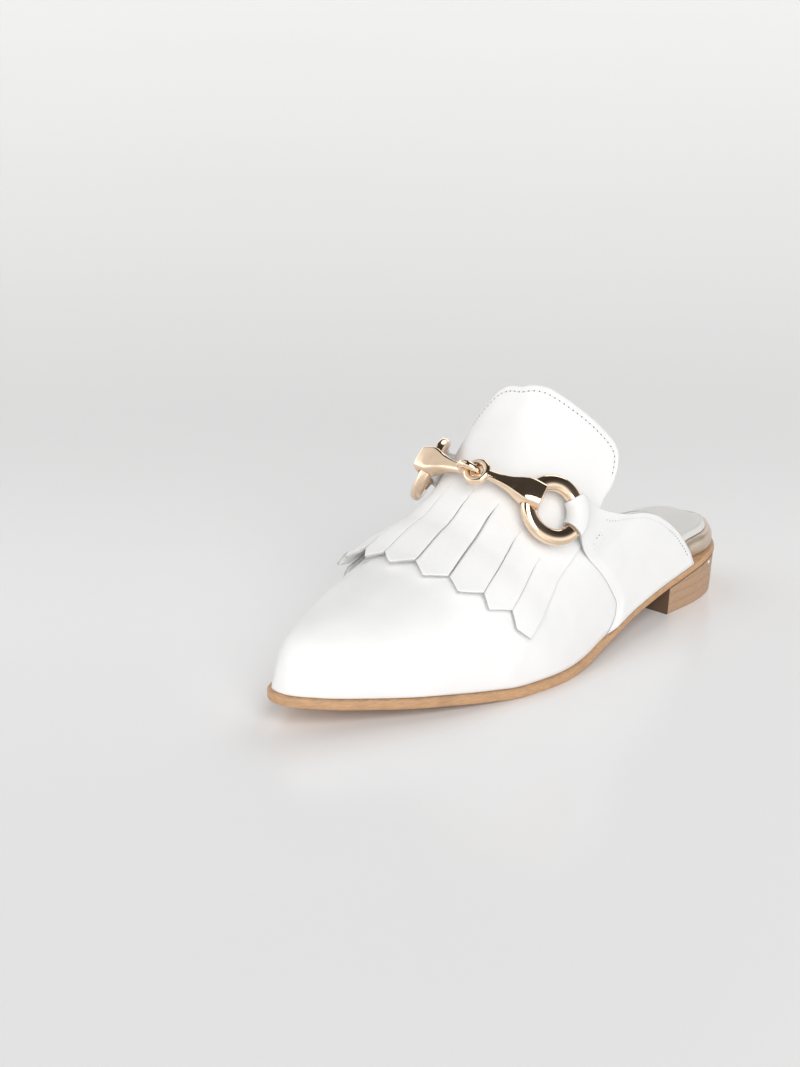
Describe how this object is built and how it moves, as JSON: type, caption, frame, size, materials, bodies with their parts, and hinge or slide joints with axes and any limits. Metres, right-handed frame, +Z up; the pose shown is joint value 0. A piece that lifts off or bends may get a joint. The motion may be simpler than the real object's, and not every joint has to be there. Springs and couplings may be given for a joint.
{
  "type": "mule shoe",
  "caption": "Backless loafer mule for the left foot: pointed toe, fringed tongue over the instep, snaffle bit and a low stacked heel.",
  "frame": {"origin": "bottom centre of the shoe's box, on the floor", "axes": "+Z up, toe towards -Y, heel towards +Y, outer (lateral) side of the left shoe towards +X"},
  "size_m": [0.0888, 0.2656, 0.115],
  "materials": {
    "heel_leather": "stacked, satin",
    "pearl_leather": "pearl",
    "rose_gold": "polished rose gold",
    "sock_leather": "padded, satin",
    "sole_leather": "natural tan, satin",
    "white_leather": "smooth, satin"
  },
  "bodies": {
    "root": {"bar_lateral": "rose_gold", "bar_medial": "rose_gold", "footbed": "pearl_leather", "heel": "heel_leather", "outsole": "sole_leather", "quarter_lateral": "white_leather", "quarter_medial": "white_leather", "ring_lateral": "rose_gold", "ring_medial": "rose_gold", "sock": "sock_leather", "tongue": "white_leather", "upper": "white_leather"}
  },
  "joints": []
}
